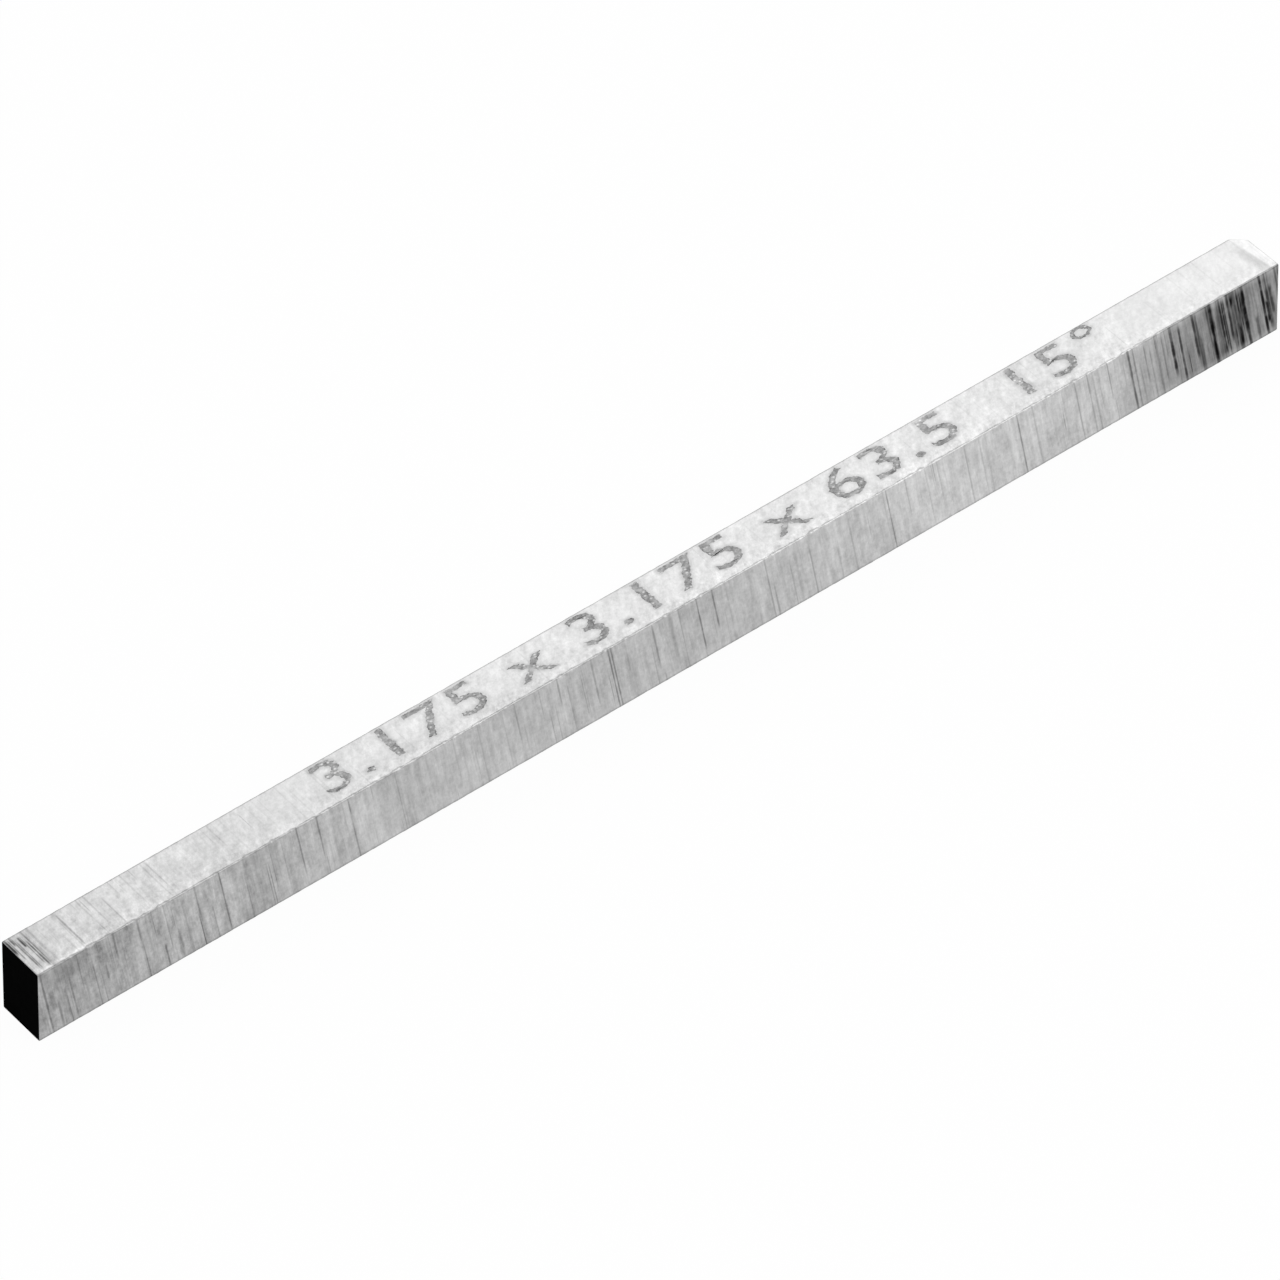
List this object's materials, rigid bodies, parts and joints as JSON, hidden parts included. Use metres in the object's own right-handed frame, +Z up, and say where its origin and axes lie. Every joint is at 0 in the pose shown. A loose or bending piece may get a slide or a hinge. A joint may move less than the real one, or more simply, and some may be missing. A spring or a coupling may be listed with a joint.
{
  "type": "square tool bit",
  "caption": "Slim square bar of high-speed steel, ground on its long faces and cut on a parallel slant at both ends, a blank for a lathe cutting tool.",
  "frame": {"origin": "middle of the lower ground face, which the bar rests on", "axes": "+X along the bar, +Y across it towards the back face, +Z up out of the top ground face"},
  "size_m": [0.0644, 0.0032, 0.0032],
  "materials": {
    "ground_steel": "surface ground across the length, with black heat-treatment scale left on the two cut ends"
  },
  "bodies": {
    "root": {"tool_bit": "ground_steel"}
  },
  "joints": []
}
